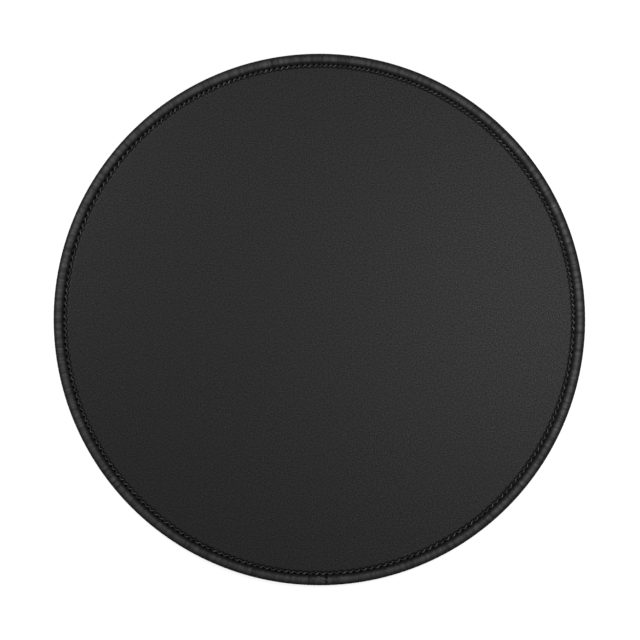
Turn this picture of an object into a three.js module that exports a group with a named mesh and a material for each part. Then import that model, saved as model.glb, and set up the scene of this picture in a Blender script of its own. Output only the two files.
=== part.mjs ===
// A round cloth mouse pad with an overlocked edge.
// Millimetres, +Z up. The origin is the centre of the underside, and +Y points away from the user.
// Four bonded sheets are cut to one disc, and three threads bind its edge: a needle thread that
// zigzags round the seam, and two looper threads that cover the rim from above and from below.
import * as THREE from "three";

// Driving sizes of the bonded sheets.
const PAD_DIAMETER = 220;
const CLOTH_THICKNESS = 0.4;
const FILM_THICKNESS = 0.1;
const SPONGE_THICKNESS = 2;
const GRIP_THICKNESS = 0.5;

// Driving sizes of the overlock stitching.
const STITCH_LENGTH = 2.46;
const STITCH_BITE = 5;
const STITCH_SWING = 0.7;
const STITCH_LIFT = 0.3;
const NEEDLE_THREAD_DIAMETER = 0.5;
const UPPER_COVER_RISE = 0.2;
const LOWER_COVER_LIFT = 0.05;
const FOOT_THICKNESS = 0.12;
const FOOT_CLEARANCE = 0.2;
const RIM_COVER = 0.9;
const RIB_DEPTH = 0.16;
const FOOT_SCALLOP = 0.14;
const INTERLOCK_DEPTH = 0.25;
const LIP_WIDTH = 0.6;
const GROOVE_MARGIN = 0.12;
const THREAD_CLEARANCE = 0.05;

// The share of their thickness that the bonded sheets keep in the seam, where they swell again
// beyond it, and at their cut edge.
const SEAM_SHARE = 0.5;
const SWELL_SHARE = 0.74;
const CUT_SHARE = 0.62;

// Where the sheets swell most, as a share of the looper cover's width counted from the rim.
const SWELL_PLACE_SHARE = 0.64;

// The two shoulders of a looper cover: each one's place, as a share of the cover's width counted
// from the rim, and its height, as a share of the crest's.
const SHOULDER_SHARES = [
  { place: 0.66, height: 1 },
  { place: 0.2, height: 0.82 },
];

const rimRadius = PAD_DIAMETER / 2;
const padThickness = GRIP_THICKNESS + SPONGE_THICKNESS + FILM_THICKNESS + CLOTH_THICKNESS;
const middle = padThickness / 2;

const seamRadius = rimRadius - STITCH_BITE;
const cutRadius = rimRadius - RIM_COVER;

// The sheets are drawn with one side for every four stitches, so that all polygons line up.
const STITCHES_PER_SIDE = 4;
const SECTIONS_PER_STITCH = 2;
const sides = Math.round((Math.PI * 2 * seamRadius) / (STITCH_LENGTH * STITCHES_PER_SIDE));
const stitches = sides * STITCHES_PER_SIDE;
const sections = stitches * SECTIONS_PER_STITCH;
const sectionsPerSide = sections / sides;

// A zigzag thread lies slanted, so its cut across the radius is a little wider than the thread.
const strideAngle = Math.atan2(STITCH_SWING, (Math.PI * 2 * seamRadius) / sections);
const needleHalfHeight = NEEDLE_THREAD_DIAMETER / 2;
const needleHalfWidth = needleHalfHeight / Math.cos(strideAngle);
const needleReach = STITCH_SWING / 2 + needleHalfWidth;
const grooveRadius = seamRadius - needleReach - GROOVE_MARGIN;
const lipRadius = grooveRadius - LIP_WIDTH;
const footRadius = seamRadius + needleReach + FOOT_CLEARANCE;
const coverWidth = rimRadius - footRadius;
const swellRadius = rimRadius - coverWidth * SWELL_PLACE_SHARE;

// Where the straight line from the groove up to the swell passes under the foot of the cover.
const footShare = THREE.MathUtils.mapLinear(footRadius, grooveRadius, swellRadius, SEAM_SHARE, SWELL_SHARE);

function material(color, roughness) {
  return new THREE.MeshStandardMaterial({ color, roughness, metalness: 0 });
}
const clothBlack = material(0x303030, 0.85);
const filmGrey = material(0x8c8c86, 0.45);
const spongeBlack = material(0x1b1b1b, 0.95);
const gripBlack = material(0x181818, 0.8);
const needleBlack = material(0x3c3c3c, 0.7);
const looperBlack = material(0x343434, 0.75);

function named(name, geometry, finish) {
  const mesh = new THREE.Mesh(geometry, finish);
  mesh.name = name;
  return mesh;
}

// Collects the corners and triangles of one closed surface.
class Surface {
  positions = [];
  faces = [];

  corner(x, y, z) {
    this.positions.push(x, y, z);
    return this.positions.length / 3 - 1;
  }

  triangle(a, b, c) {
    this.faces.push(a, b, c);
  }

  geometry() {
    const geometry = new THREE.BufferGeometry();
    geometry.setAttribute("position", new THREE.Float32BufferAttribute(this.positions, 3));
    geometry.setIndex(this.faces);
    geometry.computeVertexNormals();
    return geometry;
  }
}

// A level between two sheets, from the middle of the pad to its cut edge. The stitches pull every
// level towards the middle plane, so the sheets dip together into the seam, and they swell again
// under the looper threads.
function level(height) {
  const squeezed = (share) => middle + (height - middle) * share;
  return [
    new THREE.Vector2(0, height),
    new THREE.Vector2(lipRadius, height),
    new THREE.Vector2(grooveRadius, squeezed(SEAM_SHARE)),
    new THREE.Vector2(swellRadius, squeezed(SWELL_SHARE)),
    new THREE.Vector2(cutRadius, squeezed(CUT_SHARE)),
  ];
}

// One bonded sheet, turned from the level below it and the level above it.
function sheet(name, bottom, top, finish) {
  const profile = [...level(bottom), ...level(top).reverse()];
  const geometry = new THREE.LatheGeometry(profile, sides).rotateX(Math.PI / 2);
  return named(name, geometry, finish);
}

// The angle of a stitch section. Section 0 is at -Y, where the stitching starts and ends.
const sectionAngle = (section) => (section / sections) * Math.PI * 2 - Math.PI / 2;

// Places (radius, height) on a section.
function onSection({ x: radius, y: height }, section) {
  const angle = sectionAngle(section);
  return [radius * Math.cos(angle), radius * Math.sin(angle), height];
}

// Looper cover. Its heights are counted from the middle plane of the pad.

// The outer line on one section, as (radius, height), from the foot beside the seam, over the two
// shoulders and down to the rim. A rib is one loop of thread.
function coverOutside(crestHeight, onRib) {
  const depth = onRib ? 0 : RIB_DEPTH;
  const scallop = onRib ? 0 : FOOT_SCALLOP;
  // The loops of the two covers pass between each other along the rim.
  const reach = onRib ? -INTERLOCK_DEPTH : INTERLOCK_DEPTH;
  const footHeight = middle * footShare + THREAD_CLEARANCE + FOOT_THICKNESS;
  return [
    new THREE.Vector2(footRadius + scallop, footHeight),
    ...SHOULDER_SHARES.map(({ place, height }) => {
      return new THREE.Vector2(rimRadius - coverWidth * place, crestHeight * height - depth);
    }),
    new THREE.Vector2(rimRadius, THREAD_CLEARANCE / 2 + reach),
  ];
}

// The inner line, which lies on the squeezed sheets and goes round their cut edge.
function coverInside() {
  const edgeRadius = cutRadius + THREAD_CLEARANCE;
  return [
    new THREE.Vector2(footRadius, middle * footShare + THREAD_CLEARANCE),
    new THREE.Vector2(swellRadius, middle * SWELL_SHARE + THREAD_CLEARANCE),
    new THREE.Vector2(edgeRadius, middle * CUT_SHARE + THREAD_CLEARANCE),
    new THREE.Vector2(edgeRadius, THREAD_CLEARANCE / 2),
  ];
}

// A closed ring of thread. The outside has every section, and the inside one line for each side.
function coverGeometry(crestHeight, ribPhase) {
  const surface = new Surface();
  const line = (points, section) => points.map((point) => surface.corner(...onSection(point, section)));
  const outside = [];
  const inside = [];
  for (let s = 0; s < sections; s++) {
    outside.push(line(coverOutside(crestHeight, (s + ribPhase) % SECTIONS_PER_STITCH === 0), s));
  }
  for (let k = 0; k < sides; k++) inside.push(line(coverInside(), k * sectionsPerSide));

  outside.forEach((here, s) => {
    const next = outside[(s + 1) % sections];
    for (let p = 0; p < here.length - 1; p++) {
      surface.triangle(here[p], next[p + 1], next[p]);
      surface.triangle(here[p], here[p + 1], next[p + 1]);
    }
  });
  inside.forEach((here, k) => {
    const next = inside[(k + 1) % sides];
    for (let p = 0; p < here.length - 1; p++) {
      surface.triangle(here[p], next[p], next[p + 1]);
      surface.triangle(here[p], next[p + 1], here[p + 1]);
    }
    // Along the foot and along the rim, two fans join the inside to the outside. They meet half-way.
    const first = k * sectionsPerSide;
    const half = first + sectionsPerSide / 2;
    for (let s = first; s < first + sectionsPerSide; s++) {
      const a = outside[s];
      const b = outside[(s + 1) % sections];
      const apex = s < half ? here : next;
      surface.triangle(apex[0], a[0], b[0]);
      surface.triangle(apex.at(-1), b.at(-1), a.at(-1));
    }
    surface.triangle(here[0], outside[half][0], next[0]);
    surface.triangle(here.at(-1), next.at(-1), outside[half].at(-1));
  });
  return surface.geometry();
}

// The upper cover stands a little above the cloth. The lower one is the same piece upside down,
// half a stitch round, and stops just short of the surface that the pad lies on.
function looperCover(name, crestHeight, upsideDown) {
  const mesh = named(name, coverGeometry(crestHeight, upsideDown ? 1 : 0), looperBlack);
  mesh.position.z = middle;
  if (upsideDown) mesh.scale.z = -1;
  return mesh;
}

// Needle thread

// One unbroken thread with a square section set on edge. It lies on the groove floor at the inner
// turn of each stitch, and the loops draw it up and outwards at the outer turn.
function needleThread(name) {
  const surface = new Surface();
  const corners = 4;
  const floorHeight = middle + middle * SEAM_SHARE + THREAD_CLEARANCE + needleHalfHeight;
  for (let s = 0; s < sections; s++) {
    const outerTurn = s % SECTIONS_PER_STITCH === 0;
    const radius = seamRadius + (outerTurn ? STITCH_SWING : -STITCH_SWING) / 2;
    const height = floorHeight + (outerTurn ? STITCH_LIFT : 0);
    const here = s * corners;
    const next = ((s + 1) % sections) * corners;
    for (let c = 0; c < corners; c++) {
      const turn = (c / corners) * Math.PI * 2;
      const x = radius + needleHalfWidth * Math.cos(turn);
      const y = height + needleHalfHeight * Math.sin(turn);
      surface.corner(...onSection({ x, y }, s));
      const d = (c + 1) % corners;
      surface.triangle(here + c, next + c, next + d);
      surface.triangle(here + c, next + d, here + d);
    }
  }
  return named(name, surface.geometry(), needleBlack);
}

// The assembly, from the table upwards.
const spongeBottom = GRIP_THICKNESS;
const filmBottom = spongeBottom + SPONGE_THICKNESS;
const clothBottom = filmBottom + FILM_THICKNESS;

const mousePad = new THREE.Group();
mousePad.name = "mouse_pad";
mousePad.add(
  sheet("grip_base", 0, spongeBottom, gripBlack),
  sheet("rubber_sponge", spongeBottom, filmBottom, spongeBlack),
  sheet("adhesive_film", filmBottom, clothBottom, filmGrey),
  sheet("top_cloth", clothBottom, padThickness, clothBlack),
  needleThread("needle_thread"),
  looperCover("upper_looper_thread", middle + UPPER_COVER_RISE, false),
  looperCover("lower_looper_thread", middle - LOWER_COVER_LIFT, true),
);

export default mousePad;
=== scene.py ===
# %% [markdown]
# A round cloth mouse pad with an overlocked edge
#
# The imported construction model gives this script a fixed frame: four bonded sheets and three threads, all
# at their real size and in their real place. Each cell dresses or remodels one of those pieces and prints
# what it made. Everything is in metres, +Z is up, and +Y points away from the user.

# %% The frame
import math
import random

import bmesh
import bpy
from mathutils import Matrix, Vector


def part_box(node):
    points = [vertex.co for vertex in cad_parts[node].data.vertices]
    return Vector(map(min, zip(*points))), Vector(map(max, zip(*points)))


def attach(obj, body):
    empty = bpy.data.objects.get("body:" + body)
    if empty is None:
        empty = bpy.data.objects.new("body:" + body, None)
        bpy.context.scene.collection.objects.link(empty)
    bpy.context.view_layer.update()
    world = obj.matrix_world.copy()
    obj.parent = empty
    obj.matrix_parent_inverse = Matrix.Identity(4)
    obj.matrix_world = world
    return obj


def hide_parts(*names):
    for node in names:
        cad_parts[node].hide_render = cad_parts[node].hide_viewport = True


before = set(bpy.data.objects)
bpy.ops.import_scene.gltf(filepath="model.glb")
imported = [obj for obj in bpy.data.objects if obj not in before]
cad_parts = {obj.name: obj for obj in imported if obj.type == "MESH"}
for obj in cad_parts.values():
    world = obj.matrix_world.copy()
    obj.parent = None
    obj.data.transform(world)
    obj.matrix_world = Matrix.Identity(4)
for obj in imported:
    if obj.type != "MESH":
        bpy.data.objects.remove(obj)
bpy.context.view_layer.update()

mm = 0.001

# %% [markdown]
# Measures that every piece shares
#
# The pad is one round part, so nearly everything is said with a radius and a height. The frame gives the
# rim, the seam and the levels between the sheets. The stitches give the angles: the sewing wasn't quite
# even, and counting them in the photograph, an eighth of the round at a time, gives 268 with tighter ones
# at the upper left. Angles are found from a count of stitches, whole at the needle holes and half-way at
# the loops between.

# %% Radii, levels and stitches
TAU = math.tau
rim_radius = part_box("upper_looper_thread")[1].x
needle_low, needle_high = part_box("needle_thread")
seam_radius = (needle_high.x - needle_low.x) / 2
pad_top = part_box("top_cloth")[1].z
band_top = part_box("upper_looper_thread")[1].z
band_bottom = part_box("lower_looper_thread")[0].z
middle = pad_top / 2

OCTANT_STITCHES = (30, 29, 32, 32, 30, 36, 42, 37)  # clockwise from the right-hand side, seen from above
STITCH_UNEVENNESS = 0.05  # a share of one stitch
STITCH_SEED = 7
stitch_count = sum(OCTANT_STITCHES)
stitch_length = TAU * seam_radius / stitch_count

dice = random.Random(STITCH_SEED)


def even_angle(count):
    """The angle after a count of stitches, with each octant's stitches spread evenly over it."""
    for octant, stitches in enumerate(OCTANT_STITCHES):
        if count <= stitches:
            return -(octant + count / stitches) * TAU / len(OCTANT_STITCHES)
        count -= stitches
    return -TAU


hole_angles = [even_angle(i + dice.uniform(-1, 1) * STITCH_UNEVENNESS) for i in range(1, stitch_count)]
hole_angles = [0.0] + hole_angles + [-TAU]


def stitch_angle(count):
    """The angle in radians after any count of stitches, over more than one round too."""
    rounds, count = divmod(count, stitch_count)
    hole = int(count)
    start, end = hole_angles[hole], hole_angles[hole + 1]
    return start + (end - start) * (count - hole) - rounds * TAU


def around(radius, angle, height):
    """The point at a radius and an angle round the pad's centre, at a height."""
    return Vector((radius * math.cos(angle), radius * math.sin(angle), height))


print(f"rim {rim_radius / mm:.2f} mm, seam {seam_radius / mm:.2f} mm")
print(f"{stitch_count} stitches of {stitch_length / mm:.2f} mm")

# %% [markdown]
# Small helpers for finished pieces
#
# A finished piece keeps its object at the origin, with its place in its mesh, and rides on the only body
# there is. Its faces point outwards, and the print says whether any edge was left open. Some pieces are put
# together from several meshes, so a second helper takes one mesh into another. The third is the soft step
# from 0 to 1 that many of the curves below are made with.

# %% Helpers
WELD_DISTANCE = 0.0001 * mm


def piece(name, bm, finish, replaced=()):
    """Makes a finished piece of a mesh under construction, and says what it stands for."""
    bmesh.ops.remove_doubles(bm, verts=bm.verts, dist=WELD_DISTANCE)
    bmesh.ops.recalc_face_normals(bm, faces=bm.faces)
    open_edges = sum(not edge.is_manifold for edge in bm.edges)
    mesh = bpy.data.meshes.new(name)
    bm.to_mesh(mesh)
    bm.free()
    mesh.polygons.foreach_set("use_smooth", [True] * len(mesh.polygons))
    mesh.materials.append(finish)
    made = bpy.data.objects.new(name, mesh)
    bpy.context.scene.collection.objects.link(made)
    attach(made, "root")
    if replaced:
        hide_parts(*replaced)
    triangles = sum(len(p.vertices) - 2 for p in mesh.polygons)
    print(f"{name}: {len(mesh.vertices)} corners, {triangles} triangles, {open_edges} open edges")
    return made


def take_in(bm, other):
    """Moves all of another mesh under construction into this one."""
    carrier = bpy.data.meshes.new("carrier")
    other.to_mesh(carrier)
    other.free()
    bm.from_mesh(carrier)
    bpy.data.meshes.remove(carrier)


def ease(t):
    """Goes smoothly from 0 to 1 as t does, and stays there beyond."""
    t = min(max(t, 0.0), 1.0)
    return t * t * (3 - 2 * t)


print("eased quarters:", [round(ease(quarter / 4), 2) for quarter in range(5)])

# %% [markdown]
# An endless strip
#
# Sheets and threads alike go once round the pad, so both start as the same thing: a hoop of corners, one
# for each step of the way round, extruded row by row. Every corner then knows its step and its row, and is
# laid in its place. Rows of a sheet go out under it and back over it, and rows of a thread go round its
# section.

# %% Extruding a hoop and laying its corners
def lay_strip(steps, rows, lay):
    """Makes a strip of rows of corners and lays each one by lay(step, row)."""
    bm = bmesh.new()
    bmesh.ops.create_circle(bm, segments=steps, radius=1)
    edges = bm.edges[:]
    for _ in range(rows - 1):
        made = bmesh.ops.extrude_edge_only(bm, edges=edges)["geom"]
        corners = [part for part in made if isinstance(part, bmesh.types.BMVert)]
        bmesh.ops.translate(bm, verts=corners, vec=(0, 0, 1))
        edges = [part for part in made if isinstance(part, bmesh.types.BMEdge) and part.is_boundary]
    numbers = {}
    for corner in bm.verts:
        turned = math.atan2(corner.co.x, corner.co.y) / TAU
        numbers[corner] = (round(turned * steps) % steps, round(corner.co.z))
    for corner, (step, row) in numbers.items():
        corner.co = lay(step, row)
    return bm, numbers


def close_ends(bm):
    """Closes each round opening that is left with one flat face."""
    bmesh.ops.edgeloop_fill(bm, edges=[edge for edge in bm.edges if edge.is_boundary])


trial, _ = lay_strip(8, 3, lambda step, row: around(1, step * TAU / 8, row))
close_ends(trial)
print(f"a trial strip of 8 steps and 3 rows has {len(trial.verts)} corners and {len(trial.faces)} faces")
trial.free()

# %% [markdown]
# Shader maths as plain expressions
#
# A procedural finish is a small program of nodes. Wrapping a socket in a class with operators keeps that
# program readable: writing `weave * 0.5 + grain` adds the Math nodes for it. Every other node goes through
# one method, which sets the node's own settings first and then its inputs.

# %% A finish and the values in it
class Value:
    """A number inside a finish. Arithmetic on it adds Math nodes."""

    def __init__(self, finish, socket):
        self.finish = finish
        self.socket = socket

    def maths(self, operation, *inputs):
        return self.finish.node("ShaderNodeMath", {"operation": operation}, dict(enumerate(inputs)))

    def __add__(self, other):
        return self.maths("ADD", self, other)

    def __sub__(self, other):
        return self.maths("SUBTRACT", self, other)

    def __rsub__(self, other):
        return self.maths("SUBTRACT", other, self)

    def __mul__(self, other):
        return self.maths("MULTIPLY", self, other)

    __radd__ = __add__
    __rmul__ = __mul__

    def sine(self):
        return self.maths("SINE", self)

    def absolute(self):
        return self.maths("ABSOLUTE", self)

    def whole(self):
        return self.maths("FLOOR", self)

    def fraction(self):
        return self.maths("FRACT", self)

    def larger(self, other):
        return self.maths("MAXIMUM", self, other)

    def between(self, low, high):
        """0 up to low, 1 from high, and smooth between them."""
        settings = {"interpolation_type": "SMOOTHSTEP"}
        inputs = {"Value": self, "From Min": low, "From Max": high}
        return self.finish.node("ShaderNodeMapRange", settings, inputs)


class Finish:
    """One material, built node by node."""

    def __init__(self, name, **uniform):
        self.material = bpy.data.materials.new(name)
        self.material.use_nodes = True
        self.tree = self.material.node_tree
        self.shader = self.tree.nodes["Principled BSDF"]
        for socket, value in uniform.items():
            self.shader.inputs[socket.replace("_", " ")].default_value = value

    def node(self, kind, settings=None, inputs=None, output=0):
        """Adds a node of a kind, sets it up, feeds its inputs and gives one of its outputs."""
        made = self.tree.nodes.new(kind)
        for name, value in (settings or {}).items():
            setattr(made, name, value)
        for name, value in (inputs or {}).items():
            self.feed(made.inputs[name], value)
        return Value(self, made.outputs[output])

    def feed(self, socket, value):
        """Links a value to a socket, or writes a plain number or colour on it."""
        if isinstance(value, Value):
            self.tree.links.new(value.socket, socket)
        else:
            socket.default_value = value

    def noise(self, where, size, detail=2.0, distortion=0.0):
        """Noise from 0 to 1, with lumps about as far across as the size."""
        inputs = {"Vector": where, "Scale": 1 / size, "Detail": detail, "Distortion": distortion}
        return self.node("ShaderNodeTexNoise", {"normalize": True}, inputs)

    def place(self):
        return self.node("ShaderNodeTexCoord", output="Object")

    def along_thread(self):
        return self.node("ShaderNodeTexCoord", output="UV")

    def leg(self, uv):
        """How far along its leg a place on a looper yarn is: 0 at the rim and 1 at the turn by the seam."""
        return 1 - (self.parts(uv)[0].fraction() * 2 - 1).absolute()

    def own(self, uv):
        """A number from 0 to 1 for each leg of a yarn, because no two of them are equally full."""
        leg = (self.parts(uv)[0] * 2).whole()
        return self.node("ShaderNodeTexWhiteNoise", {"noise_dimensions": "1D"}, {"W": leg}, "Value")

    def stretched(self, where, scale):
        """A place with each of its parts multiplied by its own scale."""
        return self.node("ShaderNodeMapping", {"vector_type": "POINT"}, {"Vector": where, "Scale": scale})

    def parts(self, where):
        """The three numbers of a place."""
        split = self.node("ShaderNodeSeparateXYZ", None, {0: where}).socket.node
        return [Value(self, socket) for socket in split.outputs]

    def shade(self, colour, amount):
        """A colour made lighter or darker by an amount around 1.

        The Mix node has sockets for numbers, vectors and colours: here 0 is its factor, and 6 and 7 are the
        two colours that it multiplies.
        """
        scale = self.node("ShaderNodeCombineColor", None, {"Red": amount, "Green": amount, "Blue": amount})
        settings = {"data_type": "RGBA", "blend_type": "MULTIPLY", "clamp_result": False}
        return self.node("ShaderNodeMix", settings, {0: 1.0, 6: (*colour, 1), 7: scale}, output=2)

    def bump(self, height, depth):
        """A normal tilted by a relief, where a height of 1 stands the depth above 0."""
        return self.node("ShaderNodeBump", None, {"Height": height, "Strength": 1.0, "Distance": depth})

    def finish(self, **fed):
        """Feeds what changes over the surface and gives the material."""
        for socket, value in fed.items():
            self.feed(self.shader.inputs[socket.replace("_", " ")], value)
        return self.material


for kind in (Value, Finish):
    print(f"a {kind.__name__} can do:", *(name for name in vars(kind) if not name.startswith("_")))

# %% [markdown]
# Knitted cloth
#
# The working surface is a fine jersey knit of polyester, dyed black: rows of small V-shaped loops about
# 0.45 mm apart, with a slight sheen from loose fibre ends. At arm's length the loops melt into an even
# grain. The V shape is a wave along one axis that leans left and right in turn, and noise breaks it up.

# %% Cloth finish
CLOTH_COLOUR = (0.0085, 0.0085, 0.0086)
WALE_WIDTH = 0.52 * mm
COURSE_HEIGHT = 0.40 * mm
COURSE_LEAN = 2.4  # how far the V rises, in radians of a course
CLOTH_GRAIN = 0.5 * mm
CLOTH_LUMPS = 2.6 * mm
WALE_DRIFT_LENGTH = 6 * mm
CLOTH_RELIEF = 0.05 * mm
# Painted shade: below the flat the cloth's colour is darkened towards the groove by the seam.
PAINTED_SHADE_BELOW = 2.55 * mm  # the cloth darkens from its flat down to this height
FLAT_FROM = 2.96 * mm


def knit_finish():
    cloth = Finish("knit_cloth", Specular_IOR_Level=0.3)
    place = cloth.place()
    x, y, z = cloth.parts(place)
    drift = cloth.noise(place, WALE_DRIFT_LENGTH) - 0.5
    wale = (x + drift * WALE_WIDTH * 0.6) * (TAU / WALE_WIDTH)
    lean = wale.sine()
    course = (y * (TAU / COURSE_HEIGHT) + lean.absolute() * COURSE_LEAN).sine()
    loops = course * 0.5 + 0.5
    gaps = (wale * 0.5).sine().absolute().between(0.0, 0.45)
    grain = cloth.noise(place, CLOTH_GRAIN, 1.0) - 0.5
    lumps = cloth.noise(place, CLOTH_LUMPS)
    relief = loops * 0.5 * gaps + grain * 0.8
    flat = z.between(PAINTED_SHADE_BELOW, FLAT_FROM)
    # The flat's mask paints shade into the colour: the cloth is darker down in the groove by the seam.
    tone = (grain * 7.0 + 0.9 + lumps * 0.1 + loops * gaps * 0.1) * (0.4 + flat * 0.6)
    return cloth.finish(
        Base_Color=cloth.shade(CLOTH_COLOUR, tone),
        Roughness=1.0 - flat * 0.45 - grain * 0.6,
        Normal=cloth.bump(relief, CLOTH_RELIEF),
    )


cloth_finish = knit_finish()
print("cloth finish:", len(cloth_finish.node_tree.nodes), "nodes")

# %% [markdown]
# Yarn
#
# Overlocked edges are sewn with textured polyester: a loose bundle of crimped filaments without much twist,
# which flattens over the edge and covers it. The filaments run along the yarn, so the finish is drawn on
# the yarn's own UV map, where U counts stitches along the thread and V goes round it once. Long thin noise
# makes the filaments. Slower noise, drawn on the direction from the pad's centre alone, makes some
# stretches of the edge fuller and lighter than others, right across the band.

# %% Yarn finish
YARN_COLOUR = (0.025, 0.025, 0.0252)
NEEDLE_COLOUR = (0.068, 0.068, 0.0685)
FILAMENTS_ROUND = 16
NEEDLE_FILAMENTS_ROUND = 9
FULLNESS_LENGTH = 1.7 * mm
FILAMENT_RELIEF = 0.03 * mm
# Painted light on the looper yarn: its colour is lit up over the crest and darkened in the creases at the
# rim and the seam.
RIM_CREASE = (0.22, 0.46)  # shares of a leg over which the yarn comes out of each crease
SEAM_CREASE = (0.5, 0.74)
CREASE_PAINTED_SHADE = 0.06
# Painted shade on the needle thread: over part of each stitch and round each hole its colour is darkened.
NEEDLE_SHADE_HALF = (0.46, 0.6)  # shares of a stitch from one hole to the next
NEEDLE_HOLE_SHADE = (0.41, 0.49)  # shares of a stitch from its middle to either hole
NEEDLE_PAINTED_SHADE = 0.8


def yarn_finish(name, filaments, crimp, specular):
    """A yarn's material before its tone along the stitch, with what that tone is worked out from."""
    yarn = Finish(name, Specular_IOR_Level=specular)
    uv = yarn.along_thread()
    strands = yarn.noise(yarn.stretched(uv, (crimp, filaments, 1)), 1.0, 2.0, distortion=0.3)
    fine = yarn.noise(yarn.stretched(uv, (crimp * 2.5, filaments * 3, 1)), 1.0, 1.0)
    level_place = yarn.stretched(yarn.place(), (1, 1, 0))
    rim_place = yarn.node("ShaderNodeVectorMath", {"operation": "NORMALIZE"}, {0: level_place})
    fullness = yarn.noise(rim_place, FULLNESS_LENGTH / rim_radius)
    lumps = yarn.noise(yarn.place(), FULLNESS_LENGTH, 1.0)
    own = yarn.own(uv)
    tone = strands * 0.3 + fullness * 3.8 + lumps * 0.8 + own * 0.6 - 1.75
    roughness = 0.65 + fine * 0.12 + own * 0.12 - fullness * 0.34
    yarn.feed(yarn.shader.inputs["Normal"], yarn.bump(strands + fine * 0.4, FILAMENT_RELIEF))
    return yarn, uv, tone, roughness


def looper_yarn_finish():
    """Yarn pressed smooth over the crest of the band and rough in the creases at both ends, with a painted
    highlight on the crest and painted shade in the creases.
    """
    yarn, uv, tone, roughness = yarn_finish("looper_yarn", FILAMENTS_ROUND, 2.6, 0.46)
    leg = yarn.leg(uv)
    # This mask paints a highlight over the crest and shade into the creases, and also makes the crest
    # smoother.
    pressed = leg.between(*RIM_CREASE) * (1 - leg.between(*SEAM_CREASE))
    tone = tone * (CREASE_PAINTED_SHADE + pressed * (1 - CREASE_PAINTED_SHADE))
    roughness = roughness + (1 - pressed) * 0.5
    return yarn.finish(Base_Color=yarn.shade(YARN_COLOUR, tone), Roughness=roughness)


def needle_yarn_finish():
    """Tight smooth thread with painted shade in its colour over the half of each stitch that runs to the
    next hole, and round each hole where it dives.
    """
    yarn, uv, tone, roughness = yarn_finish("needle_yarn", NEEDLE_FILAMENTS_ROUND, 3.0, 0.4)
    phase = yarn.parts(uv)[0].fraction()
    # Painted shade: the colour darkens over the half of each stitch that runs to the next hole, and round
    # each hole.
    painted_shade_half = phase.between(*NEEDLE_SHADE_HALF)
    painted_hole_shade = (phase - 0.5).absolute().between(*NEEDLE_HOLE_SHADE)
    tone = tone * (1 - painted_shade_half * NEEDLE_PAINTED_SHADE) * (1 - painted_hole_shade * NEEDLE_PAINTED_SHADE)
    return yarn.finish(Base_Color=yarn.shade(NEEDLE_COLOUR, tone), Roughness=roughness)


looper_finish = looper_yarn_finish()
needle_finish = needle_yarn_finish()
print("yarn finishes:", looper_finish.name, needle_finish.name)

# %% [markdown]
# Rubber and film
#
# The core is foamed natural rubber, dull and full of tiny closed cells, and its underside is pressed into a
# thin skin with a diamond relief that holds the desk. The film that bonds the cloth is a thin cloudy layer
# of melt glue, seen only if the pad is cut open.

# %% Rubber and film finishes
SPONGE_COLOUR = (0.012, 0.012, 0.012)
GRIP_COLOUR = (0.012, 0.012, 0.0122)
FILM_COLOUR = (0.26, 0.26, 0.24)
DUST_LENGTH = 9 * mm
SPECK_SIZE = 0.25 * mm
FILM_CLOUDS = 3 * mm
FILM_RELIEF = 0.03 * mm


def rubber_finish(name, colour, cell_size, depth, roughness):
    rubber = Finish(name, Specular_IOR_Level=0.4)
    place = rubber.place()
    inputs = {"Vector": place, "Scale": 1 / cell_size}
    cells = rubber.node("ShaderNodeTexVoronoi", {"feature": "F1"}, inputs, "Distance")
    dust = rubber.noise(place, DUST_LENGTH, 4.0)
    speck = rubber.noise(place, SPECK_SIZE, 1.0)
    return rubber.finish(
        Base_Color=rubber.shade(colour, 0.75 + dust * 0.35 + speck * 0.2),
        Roughness=roughness + dust * 0.12,
        Normal=rubber.bump(cells + speck * 0.5, depth),
    )


def film_finish():
    film = Finish("melt_film", Specular_IOR_Level=0.5)
    cloudy = film.noise(film.place(), FILM_CLOUDS, 3.0)
    return film.finish(
        Base_Color=film.shade(FILM_COLOUR, 0.8 + cloudy * 0.4),
        Roughness=0.32 + cloudy * 0.2,
        Normal=film.bump(cloudy, FILM_RELIEF),
    )


sponge_finish = rubber_finish(
    "sponge_rubber", SPONGE_COLOUR, cell_size=0.35 * mm, depth=0.12 * mm, roughness=0.82
)
grip_finish = rubber_finish(
    "grip_rubber", GRIP_COLOUR, cell_size=0.3 * mm, depth=0.02 * mm, roughness=0.58
)
bond_finish = film_finish()
print("rubber and film finishes:", sponge_finish.name, grip_finish.name, bond_finish.name)

# %% [markdown]
# The squeezed laminate
#
# The four sheets are bonded and die-cut to one disc, so they share one shape. The stitches pinch them to
# about half their thickness at the seam, the sponge swells again under the looper yarn, and the cut edge is
# drawn in. The lip of the groove follows the needle thread in and out, and each needle hole pulls a small
# pit. One function says which share of its height a level keeps at a place, so the sheets stay together
# everywhere.

# %% How far the stitches squeeze the sheets
CUT_INSET = 0.95 * mm
LIP_INSET = 6.02 * mm
NEEDLE_HOLE_INSET = 5.4 * mm
SEAM_INSET = 4.9 * mm
GROOVE_INSET = 4.2 * mm
SWELL_INSET = 3.0 * mm


def squeeze_stations(seam_share, groove_share):
    """Shares of the full height, from the flat to the cut edge."""
    return (
        (LIP_INSET, 1.0),
        (NEEDLE_HOLE_INSET, seam_share),
        (SEAM_INSET, seam_share),
        (GROOVE_INSET, groove_share),
        (SWELL_INSET, 0.62),
        (CUT_INSET, 0.5),
    )


STATIONS_ABOVE = squeeze_stations(0.60, 0.30)
STATIONS_BELOW = squeeze_stations(0.56, 0.50)
LIP_WAVE = 0.22 * mm
LIP_WAVE_INSET = 4.5 * mm  # the wave grows inwards from here
LIP_WAVE_REACH = 0.8 * mm
PIT_INSET = 4.65 * mm
PIT_DEPTH_ABOVE = 0.5  # shares of the height above and below the middle
PIT_DEPTH_BELOW = PIT_DEPTH_ABOVE / 3
PIT_WIDTH = 0.42 * mm
LEAST_SHARE = 0.08


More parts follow.
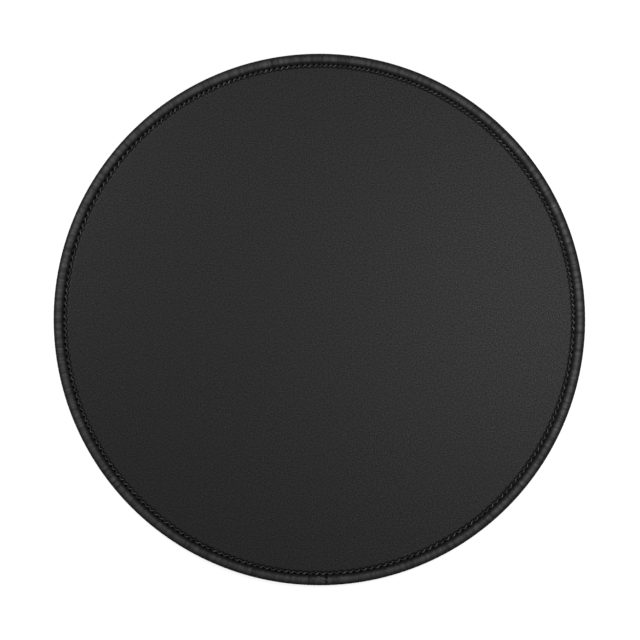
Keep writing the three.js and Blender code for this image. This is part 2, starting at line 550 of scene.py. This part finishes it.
def look_up(stations, at):
    """A value that runs smoothly from station to station."""
    for (start, low), (end, high) in zip(stations, stations[1:]):
        if (at - end) * (end - start) <= 0:
            return low + (high - low) * ease((at - start) / (end - start))
    return stations[-1][1]


def squeezed(height, inset, phase=0.5):
    """The height that a level of the laminate has at an inset from the rim and a phase of the stitch."""
    wave = LIP_WAVE * math.cos(TAU * phase) * ease((inset - LIP_WAVE_INSET) / LIP_WAVE_REACH)
    along = min(phase, 1 - phase) * stitch_length
    pit = math.exp(-(along**2 + (inset - PIT_INSET) ** 2) / PIT_WIDTH**2)
    above = height > middle
    share = look_up(STATIONS_ABOVE if above else STATIONS_BELOW, inset - wave)
    share = max(share - (PIT_DEPTH_ABOVE if above else PIT_DEPTH_BELOW) * pit, LEAST_SHARE)
    return middle + (height - middle) * share


squeezed_tops = [round(squeezed(pad_top, inset) / mm, 2) for inset, _ in STATIONS_ABOVE]
print("the top from the flat to the cut edge, in mm:", squeezed_tops)

# %% [markdown]
# One sheet of the laminate
#
# A sheet's profile goes out along its underside, round the cut edge and back over its top, and the strip
# carries it once round the pad. Its rings lie close together at the lip and the pits, and far apart under
# the band of yarn, where nobody sees them. The flat middle needs no rings at all.

# %% Laying a sheet
STEPS_PER_STITCH = 6
FLAT_INSET = 6.6 * mm
FINE_SPACING = 0.17 * mm
FINE_RINGS = 13
FINE_INSETS = [FLAT_INSET - ring * FINE_SPACING for ring in range(FINE_RINGS)]
COARSE_INSETS = FINE_INSETS[::2]
OUTER_INSETS = [3.7 * mm, 2.8 * mm, 1.9 * mm, CUT_INSET]


def lay_sheet(low, high, lower_insets, upper_insets):
    """A closed disc between two levels. Its flat middle is one face above and one below."""
    profile = [(low, inset) for inset in lower_insets + OUTER_INSETS]
    profile += [(high, inset) for inset in reversed(upper_insets + OUTER_INSETS)]

    def lay(step, row):
        height, inset = profile[row]
        count = step / STEPS_PER_STITCH
        return around(rim_radius - inset, stitch_angle(count), squeezed(height, inset, count % 1))

    bm, _ = lay_strip(stitch_count * STEPS_PER_STITCH, len(profile), lay)
    close_ends(bm)
    return bm


print(f"{FINE_RINGS} fine rings, {FINE_INSETS[0] / mm:.2f} to {FINE_INSETS[-1] / mm:.2f} mm from the rim")

# %% [markdown]
# Top cloth, film and sponge
#
# The cloth is the sheet that shows, so its upper face gets rings close together from the flat to the seam.
# The film below it is a tenth of a millimetre of glue, and the sponge is the padded part. Both are hidden
# once the edge is sewn, but they share the cloth's rings, because a coarser sheet would break through it in
# the pits at the needle holes. The levels between the sheets come from the frame.

# %% Cloth, film and sponge discs
core_low, core_high = (corner.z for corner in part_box("rubber_sponge"))
film_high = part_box("adhesive_film")[1].z


def make_sheet(name, low, high, finish, node):
    return piece(name, lay_sheet(low, high, COARSE_INSETS, FINE_INSETS), finish, [node])


cloth_disc = make_sheet("cloth_disc", film_high, pad_top, cloth_finish, "top_cloth")
bond_film = make_sheet("bond_film", core_high, film_high, bond_finish, "adhesive_film")
sponge_core = make_sheet("sponge_core", core_low, core_high, sponge_finish, "rubber_sponge")

# %% [markdown]
# Grip base
#
# The photograph doesn't show the underside. Pads of this kind have a rubber skin pressed on a fine engraved
# plate, so it gets a relief of small diamonds. A grid of squares is turned by 45 degrees and trimmed to a
# disc by one cut for each side of the round, as a die would trim it. Insetting every whole square with a
# little depth then presses the diamonds out, and their edges stay crisp. A plain border, laid like the
# other sheets, is filled in round them.

# %% Grip skin
DIAMOND_PITCH = 2.3 * mm
DIAMOND_BEVEL = 0.32 * mm
DIAMOND_RELIEF = 0.14 * mm
WHOLE_SHARE = 0.999  # of a square's area, to tell whole squares from trimmed ones
GRIP_SIDES = 134
BORDER_WIDTH = 0.5 * mm
SLIVER = 0.08 * mm


def diamond_grid(radius, floor):
    """A disc of small diamonds that stand down from the floor level, with one open border."""
    cells = 2 * math.ceil(radius * math.sqrt(2) / DIAMOND_PITCH / 2) + 2
    half = cells * DIAMOND_PITCH / 2
    bm = bmesh.new()
    turned = Matrix.Translation((0, 0, floor)) @ Matrix.Rotation(TAU / 8, 4, "Z")
    bmesh.ops.create_grid(bm, x_segments=cells, y_segments=cells, size=half, matrix=turned)
    for side in range(GRIP_SIDES):
        outwards = around(1, side * TAU / GRIP_SIDES, 0)
        cut = {"plane_co": outwards * radius, "plane_no": outwards, "clear_outer": True}
        bmesh.ops.bisect_plane(bm, geom=bm.verts[:] + bm.edges[:] + bm.faces[:], **cut)
    border = {corner for edge in bm.edges if edge.is_boundary for corner in edge.verts}
    bmesh.ops.remove_doubles(bm, verts=list(border), dist=SLIVER)
    bmesh.ops.reverse_faces(bm, faces=bm.faces)
    bm.normal_update()
    whole = [face for face in bm.faces if face.calc_area() > WHOLE_SHARE * DIAMOND_PITCH**2]
    bmesh.ops.inset_individual(bm, faces=whole, thickness=DIAMOND_BEVEL, depth=DIAMOND_RELIEF)
    for edge in bm.edges:
        edge.smooth = False
    return bm, len(whole)


def make_grip():
    low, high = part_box("grip_base")[0].z, core_low
    bm = lay_sheet(low, high, FINE_INSETS, COARSE_INSETS)
    flat_faces = [face for face in bm.faces if len(face.verts) > 4]
    lower_flat = min(flat_faces, key=lambda face: face.calc_center_median().z)
    bmesh.ops.delete(bm, geom=[lower_flat], context="FACES_ONLY")
    diamonds, count = diamond_grid(rim_radius - FLAT_INSET - BORDER_WIDTH, low + DIAMOND_RELIEF)
    take_in(bm, diamonds)
    bmesh.ops.triangle_fill(bm, use_beauty=True, edges=[edge for edge in bm.edges if edge.is_boundary])
    print(count, "diamonds")
    return piece("grip_skin", bm, grip_finish, ["grip_base"])


grip_skin = make_grip()

# %% [markdown]
# A thread laid along a path
#
# Each thread goes round the whole pad without an end. A path is a function of the count of stitches. It
# gives a point, the direction that faces outwards there, and half the thread's width and height, because
# yarn is squashed flat where it lies on the pad and round where it is pulled tight. The rows of the strip
# go round the thread's section, and the last row closes on the first. The UV map counts stitches along the
# thread and goes round it once.

# %% Laying a thread
SECTION_POWER = 3.6  # 2 would be an ellipse, and more is a squarer section


def squared(part):
    """Makes the section of a pressed yarn a little squarer than an ellipse."""
    return math.copysign(abs(part) ** (2 / SECTION_POWER), part)


def section(path, at, step):
    """The middle of a thread's section at one place of its path, and the section's two half axes."""
    point, up, half_width, half_height = path(at)
    ahead = path(at + step)[0] - path(at - step)[0]
    side = ahead.cross(up).normalized()
    return point, side * half_width, side.cross(ahead).normalized() * half_height


def on_section(made, turn):
    """A corner on a section, by the share of a turn round it."""
    point, side, up = made
    return point + side * squared(math.cos(turn * TAU)) + up * squared(math.sin(turn * TAU))


def lay_thread(path, stitches, rings_per_stitch, corners):
    """A thread laid along a path that takes a number of stitches and then closes on itself."""
    rings = stitches * rings_per_stitch
    sections = [section(path, ring / rings_per_stitch, 0.25 / rings_per_stitch) for ring in range(rings)]

    def lay(ring, row):
        return on_section(sections[ring], row % corners / corners)

    bm, numbers = lay_strip(rings, corners + 1, lay)
    uv = bm.loops.layers.uv.new("UVMap")
    for face in bm.faces:
        last = any(numbers[loop.vert][0] == rings - 1 for loop in face.loops)
        for loop in face.loops:
            ring, row = numbers[loop.vert]
            loop[uv].uv = ((rings if last and ring == 0 else ring) / rings_per_stitch, row / corners)
    return bm


corner_share = squared(math.sqrt(0.5))
print(f"an eighth of a turn round, a section is {corner_share:.2f} of its half width out (an ellipse 0.71)")

# %% [markdown]
# Looper yarns
#
# The upper looper yarn comes over the rim, crosses the band to the seam, passes under the needle thread,
# and goes back over the band to the rim, once for each stitch. Two legs to a stitch side by side cover the
# edge. The legs meet under the needle thread, so they leave dark pits between them beside the seam, and
# they meet the lower yarn on the rim, where each hooks the other. No two legs lie quite alike: each has its
# own width, height and lean.

# %% The path of a looper yarn
CREST_INSET = 2.15 * mm
FOOT_INSET = 3.95 * mm
TURN_INSET = 4.8 * mm
RIM_CLEARANCE = 0.01 * mm
LOCK_ROLL = math.radians(-14)
FOOT_ROLL = math.radians(162)
LEG_SHARE = 0.8

# Each leg runs from the lock on the rim (0) to the turn under the needle thread (1). How far sideways it
# lies is a share of a stitch.
SIDEWAYS_STATIONS = ((0.0, 0.0), (0.1, 0.24), (0.5, 0.25), (0.8, 0.32), (0.92, 0.40), (1.0, 0.5))
HALF_WIDTH_STATIONS = (
    (0.0, 0.50 * mm),
    (0.08, 0.84 * mm),
    (0.25, 0.92 * mm),
    (0.64, 0.92 * mm),
    (0.8, 0.60 * mm),
    (0.92, 0.26 * mm),
    (1.0, 0.24 * mm),
)
FOOT_PRESSING = 0.5  # the share of its thickness that the yarn keeps under the needle thread
FOOT_START = 0.7  # the share of a leg after which it is pressed thinner
FOOT_REACH = 0.3
THIN_LEG_SHARE = 0.1
THIN_LEG_WIDTH = 0.7


def leg_characters(seed, chosen=()):
    """Each leg's own width, height and lean. A few are thin and leave a gap beside them."""
    own = random.Random(seed)
    ranges = ((0.9, 1.1), (-0.05 * mm, 0.03 * mm), (-0.05, 0.05))
    legs = [[own.uniform(*limits) for limits in ranges] for _ in range(2 * stitch_count)]
    for leg in legs:
        if own.random() < THIN_LEG_SHARE:
            leg[0] = THIN_LEG_WIDTH
    for number, character in chosen:
        legs[number] = character
    return legs


def looper_path(side, crest, foot, turn, half_height, start, characters):
    """The path of the yarn above (side 1) or below (side -1) the middle plane."""
    crest_radius = rim_radius - CREST_INSET
    foot_span = FOOT_INSET - CREST_INSET
    rim_span = CREST_INSET - half_height - RIM_CLEARANCE

    def path(count):
        stitch = math.floor(count)
        phase = count - stitch
        back = phase > 0.5
        leg = 2 * (1 - phase) if back else 2 * phase
        width, lift, lean = characters[(2 * stitch + back) % len(characters)]
        own = ease(2 * leg) * ease(2 - 2 * leg)
        sideways = look_up(SIDEWAYS_STATIONS, leg)
        place = stitch + start + (1 - sideways if back else sideways) + lean * own
        roll = LOCK_ROLL + (FOOT_ROLL - LOCK_ROLL) * min(leg / LEG_SHARE, 1)
        out, rise = math.cos(roll), math.sin(roll)
        if out > 0:
            span, floor = rim_span, 0
        else:
            span, floor = foot_span, foot
        height_span = crest + lift * own - floor
        radius, height = crest_radius + span * out, floor + height_span * rise
        facing = Vector((out / span, rise / height_span)).normalized()
        if leg > LEG_SHARE:
            tuck = ease((leg - LEG_SHARE) / (1 - LEG_SHARE))
            radius += (rim_radius - TURN_INSET - radius) * tuck
            height += (turn - height) * tuck
            facing = facing.lerp(Vector((0, 1)), tuck).normalized()
        angle = stitch_angle(place)
        crowding = (stitch_angle(stitch) - stitch_angle(stitch + 1)) * seam_radius / stitch_length
        half_width = look_up(HALF_WIDTH_STATIONS, leg) * (1 + (width - 1) * own) * crowding
        point = around(radius, angle, middle + side * height)
        pressed = 1 - (1 - FOOT_PRESSING) * ease((leg - FOOT_START) / FOOT_REACH)
        return point, around(facing.x, angle, side * facing.y), half_width, half_height * pressed

    return path


print(f"{2 * stitch_count} legs to a yarn, each reaching {TURN_INSET / mm:.1f} mm in from the rim")

# %% [markdown]
# The two looper yarns
#
# One function makes both, because the lower yarn is the upper one turned over: side is 1 above the middle
# of the pad and -1 below it. The lower yarn starts half a stitch later, so that each of its locks on the
# rim falls between two of the upper yarn's. Its foot and its turn find their own height on the squeezed
# laminate.

# %% Upper and lower looper yarns
UPPER_HALF_HEIGHT = 0.27 * mm
LOWER_HALF_HEIGHT = 0.20 * mm
UPPER_SEED = 11
LOWER_SEED = 12
RINGS_PER_STITCH = 28
YARN_CORNERS = 12
FOOT_LIFT = 0.08 * mm

# At the join of the sewing two legs of the upper yarn lie apart: the number and character of each.
JOIN_STITCH = OCTANT_STITCHES[0] + OCTANT_STITCHES[1]
GAP_LEGS = (
    (2 * JOIN_STITCH - 3, (0.7, -0.08 * mm, -0.17)),
    (2 * JOIN_STITCH - 2, (0.7, -0.08 * mm, 0.17)),
)


def make_looper(name, side, crest, half_height, start, characters, node):
    level = pad_top if side > 0 else 0
    foot, turn = (side * (squeezed(level, inset) - middle) for inset in (GROOVE_INSET, TURN_INSET))
    turn += half_height * FOOT_PRESSING
    path = looper_path(side, crest - half_height, foot + FOOT_LIFT, turn, half_height, start, characters)
    bm = lay_thread(path, stitch_count, RINGS_PER_STITCH, YARN_CORNERS)
    return piece(name, bm, looper_finish, [node])


upper_yarn = make_looper(
    "upper_looper_yarn",
    side=1,
    crest=band_top - middle,
    half_height=UPPER_HALF_HEIGHT,
    start=0.0,
    characters=leg_characters(UPPER_SEED, GAP_LEGS),
    node="upper_looper_thread",
)
lower_yarn = make_looper(
    "lower_looper_yarn",
    side=-1,
    crest=middle - band_bottom,
    half_height=LOWER_HALF_HEIGHT,
    start=0.5,
    characters=leg_characters(LOWER_SEED),
    node="lower_looper_thread",
)

# %% [markdown]
# The thread's ends at the join
#
# The sewing starts and ends at -Y, where the photograph shows a small dark gap in the band and two ends of
# yarn lying slanting across it. Each end is a short tube over the band's own curve, and both its tips dip
# under the yarn beside them. Here the strip runs the other way: a step goes round the section and a row
# goes along.

# %% Yarn ends at the join
TAIL_HALF_WIDTH = 0.36 * mm
TAIL_HALF_HEIGHT = 0.17 * mm
TAIL_SINK = 0.4 * mm
TAIL_RINGS = 24
TAIL_FREE_SHARE = 0.25  # the share of its length over which each tip dips
TAIL_LOOK_AHEAD = 0.02  # the share of its length over which its direction is taken
# The looper finish paints its crest highlight there, so the ends carry that painted highlight all along.
CREST_UV = 0.235  # where along a stitch of the looper finish the yarn is at the crest of the band

# Count of stitches and inset at the two tips of each end.
TAIL_ROUTES = (
    ((JOIN_STITCH + 1.3, 3.3 * mm), (JOIN_STITCH - 1.0, 1.15 * mm)),
    ((JOIN_STITCH + 0.5, 3.7 * mm), (JOIN_STITCH - 1.5, 1.9 * mm)),
)


def band_height(inset):
    """The height of the upper yarn's middle line at an inset."""
    crest = band_top - UPPER_HALF_HEIGHT
    if inset < CREST_INSET:
        span, floor = CREST_INSET - UPPER_HALF_HEIGHT - RIM_CLEARANCE, middle
    else:
        span, floor = FOOT_INSET - CREST_INSET, squeezed(pad_top, GROOVE_INSET) + FOOT_LIFT
    out = min(abs(inset - CREST_INSET) / span, 1)
    return floor + (crest - floor) * math.sqrt(1 - out**2)


def tail_path(start, end):
    def path(share):
        count, inset = (a + (b - a) * share for a, b in zip(start, end))
        angle = stitch_angle(count)
        slope = (band_height(inset + TAIL_SINK / 8) - band_height(inset - TAIL_SINK / 8)) / (TAIL_SINK / 4)
        free = ease(share / TAIL_FREE_SHARE) + ease((1 - share) / TAIL_FREE_SHARE) - 1
        sink = TAIL_SINK * (1 - free)
        up = around(slope, angle, 1).normalized()
        on_band = around(rim_radius - inset, angle, band_height(inset))
        lifted = on_band + up * (UPPER_HALF_HEIGHT + TAIL_HALF_HEIGHT / 3 - sink)
        return lifted, up, TAIL_HALF_WIDTH * (0.5 + 0.5 * free), TAIL_HALF_HEIGHT

    return path


def make_tails():
    bm = bmesh.new()
    bm.loops.layers.uv.new("UVMap")
    for start, end in TAIL_ROUTES:
        path = tail_path(start, end)
        sections = [section(path, ring / (TAIL_RINGS - 1), TAIL_LOOK_AHEAD) for ring in range(TAIL_RINGS)]

        def lay(corner, ring):
            return on_section(sections[ring], corner / YARN_CORNERS)

        tail, numbers = lay_strip(YARN_CORNERS, TAIL_RINGS, lay)
        layer = tail.loops.layers.uv.new("UVMap")
        for face in tail.faces:
            last = any(numbers[loop.vert][0] == YARN_CORNERS - 1 for loop in face.loops)
            for loop in face.loops:
                corner = numbers[loop.vert][0]
                turn = (YARN_CORNERS if last and corner == 0 else corner) / YARN_CORNERS
                loop[layer].uv = (CREST_UV, turn)
        close_ends(tail)
        bmesh.ops.recalc_face_normals(tail, faces=tail.faces)
        take_in(bm, tail)
    return piece("join_yarn_ends", bm, looper_finish)


join_yarn_ends = make_tails()

# %% [markdown]
# Needle thread
#
# The needle thread holds the looper yarns down. Between two holes it is drawn outwards over a pair of
# looper legs, and at each hole it dives into the cloth. Seen from above that makes the zigzag line, and the
# dives and painted shade round each hole make its dark pits. A cosine makes the zigzag, because pulled
# thread turns in curves and never in corners.

# %% Needle thread
NEEDLE_RADIUS = 0.165 * mm
PEAK_INSET = 4.68 * mm
NEEDLE_LIFT = 0.2 * mm
PEAK_LIFT = 0.2 * mm
DIVE_DEPTH = 0.3 * mm
DIVE_WIDTH = 0.3 * mm
NEEDLE_RINGS = 16
NEEDLE_CORNERS = 8
seam_top = squeezed(pad_top, TURN_INSET)
seam_bottom = squeezed(0, TURN_INSET)


def needle_path(count):
    """Zigzags between the holes and the peaks over the looper legs, and dives at each hole."""
    phase = count % 1
    swing = 0.5 - 0.5 * math.cos(TAU * phase)
    inset = NEEDLE_HOLE_INSET + (PEAK_INSET - NEEDLE_HOLE_INSET) * swing
    along = min(phase, 1 - phase) * stitch_length
    dive = DIVE_DEPTH * math.exp(-((along / DIVE_WIDTH) ** 2))
    height = seam_top + NEEDLE_LIFT + PEAK_LIFT * swing - dive
    point = around(rim_radius - inset, stitch_angle(count), height)
    return point, Vector((0, 0, 1)), NEEDLE_RADIUS, NEEDLE_RADIUS


hole_height, peak_height = (needle_path(count)[0].z / mm for count in (0, 0.5))
print(f"the thread is at {hole_height:.2f} mm in a hole and at {peak_height:.2f} mm at a peak")

# %% [markdown]
# The loops below
#
# On the underside the needle thread comes out as one small loop at each hole, which holds the lower looper
# yarn. Such a loop is half a ring: a small disc that is spun half round. There are hundreds of them, so
# each has only a few sides and steps. Its ends stop a little short of the skin, level with the looper yarn
# that it holds.

# %% Needle thread and its loops below
LOOP_INSET = 4.95 * mm
LOOP_RADIUS = 0.36 * mm
LOOP_THREAD_RADIUS = 0.15 * mm
LOOP_SINK = 0.1 * mm
LOOP_SIDES = 6
LOOP_STEPS = 6


def needle_loops():
    """The half rings of the underside, one at each hole."""
    bm = bmesh.new()
    for hole in range(stitch_count):
        angle = stitch_angle(hole)
        centre = around(rim_radius - LOOP_INSET, angle, seam_bottom - LOOP_SINK)
        turned = Matrix.Translation(centre) @ Matrix.Rotation(angle, 4, "Z")
        begin = turned @ Matrix.Translation((LOOP_RADIUS, 0, 0))
        size = {"segments": LOOP_SIDES, "radius": LOOP_THREAD_RADIUS}
        disc = bmesh.ops.create_circle(bm, cap_ends=True, matrix=begin, **size)
        face = disc["verts"][0].link_faces[0]
        geometry = disc["verts"] + list(face.edges) + [face]
        along = around(1, angle + TAU / 4, 0)
        bmesh.ops.spin(bm, geom=geometry, axis=along, cent=centre, angle=TAU / 2, steps=LOOP_STEPS)
    return bm


def make_needle():
    bm = lay_thread(needle_path, stitch_count, NEEDLE_RINGS, NEEDLE_CORNERS)
    take_in(bm, needle_loops())
    return piece("needle_yarn", bm, needle_finish, ["needle_thread"])


needle_yarn = make_needle()

# %% [markdown]
# Floor
#
# The photograph is a plain product shot from straight above on white. The floor is a pale sheet that glows
# to the camera and in reflections, so that it shows as white there, and still takes the pad's soft shadow.
# To all other light it is a plain grey sheet, and so it doesn't light the pad's edge like a lamp.

# %% Floor
FLOOR_REACH = 3.0  # metres from the middle to each side
FLOOR_DROP = 0.02 * mm
FLOOR_TONE = 0.3
FLOOR_GLOW = 0.85


def make_floor():
    bm = bmesh.new()
    bmesh.ops.create_grid(bm, x_segments=1, y_segments=1, size=FLOOR_REACH)
    bmesh.ops.translate(bm, verts=bm.verts, vec=(0, 0, -FLOOR_DROP))
    mesh = bpy.data.meshes.new("floor")
    bm.to_mesh(mesh)
    bm.free()
    floor = bpy.data.objects.new("floor", mesh)
    bpy.context.scene.collection.objects.link(floor)
    paper = Finish("paper", Base_Color=(FLOOR_TONE, FLOOR_TONE, FLOOR_TONE, 1), Roughness=0.9)
    seen = paper.node("ShaderNodeLightPath", output="Is Camera Ray")
    for ray in ("Is Glossy Ray", "Is Transmission Ray"):
        seen = seen.larger(paper.node("ShaderNodeLightPath", output=ray))
    lit = Value(paper, paper.shader.outputs[0])
    glow = paper.node("ShaderNodeEmission", None, {"Color": (1, 1, 1, 1), "Strength": FLOOR_GLOW})
    glowing = paper.node("ShaderNodeAddShader", None, {0: lit, 1: glow})
    chosen = paper.node("ShaderNodeMixShader", None, {0: seen, 1: lit, 2: glowing})
    paper.feed(paper.tree.nodes["Material Output"].inputs[0], chosen)
    mesh.materials.append(paper.material)
    return floor


floor = make_floor()
print(f"floor {2 * FLOOR_REACH:.0f} m wide, {FLOOR_DROP / mm:.2f} mm under the pad")

# %% [markdown]
# Light
#
# The pad is dark, so its look comes from where the lamps stand. In the photograph the cloth grows lighter
# from left to right and the band of yarn is brightest at the upper left. Two round soft lamps and an even
# grey world do that: the first hangs over the right half of the pad, and the second stands low and near at
# the upper left, so it rakes across the band there. All three stay plain enough to show a colour about as
# it is written.

# %% Lamps and world
def make_lamp(name, place, aim, size, level):
    """A round soft lamp. A white sheet that faced it where it aims would render at about the level."""
    reach = Vector(place) - Vector(aim)
    lamp = bpy.data.lights.new(name, "AREA")
    lamp.shape = "DISK"
    lamp.size = size
    lamp.energy = level * (math.pi * reach.length) ** 2
    made = bpy.data.objects.new(name, lamp)
    made.location = place
    made.rotation_euler = reach.to_track_quat("Z", "Y").to_euler()
    bpy.context.scene.collection.objects.link(made)
    made.visible_camera = False
    print(f"{name} lamp {reach.length:.2f} m away, {lamp.energy:.3f} W")


make_lamp("key", place=(0.125, 0.02, 0.24), aim=(0.125, 0.02, 0), size=0.12, level=0.65)
make_lamp("left", place=(-0.27, 0.13, 0.17), aim=(-0.09, 0.045, 0), size=0.12, level=0.85)

WORLD_LEVEL = 0.34


def make_world(level):
    """Light of one grey from all round."""
    world = bpy.data.worlds.new("studio")
    world.use_nodes = True
    tree = world.node_tree
    tree.nodes["Background"].inputs["Color"].default_value = (level, level, level, 1)
    bpy.context.scene.world = world


make_world(WORLD_LEVEL)
print(f"world at a level of {WORLD_LEVEL}")

# %% [markdown]
# Camera
#
# The camera looks straight down from a long way off, as the round outline shows, and its field of view
# makes the pad as large in the picture as in the photograph.

# %% Camera
PHOTO_SIDE = 640
PHOTO_CENTRE = (319.4, 319.5)
PHOTO_DIAMETER = 531.7
CAMERA_HEIGHT = 1.5

metres_per_pixel = 2 * rim_radius / PHOTO_DIAMETER
camera = bpy.data.objects.new("camera", bpy.data.cameras.new("camera"))
camera.data.angle = 2 * math.atan(PHOTO_SIDE / 2 * metres_per_pixel / (CAMERA_HEIGHT - middle))
camera.location = (
    (PHOTO_SIDE / 2 - PHOTO_CENTRE[0]) * metres_per_pixel,
    (PHOTO_CENTRE[1] - PHOTO_SIDE / 2) * metres_per_pixel,
    CAMERA_HEIGHT,
)
bpy.context.scene.collection.objects.link(camera)
bpy.context.scene.camera = camera
bpy.context.scene.view_settings.view_transform = "Standard"
print(f"camera {CAMERA_HEIGHT} m up, {math.degrees(camera.data.angle):.2f} degrees wide")
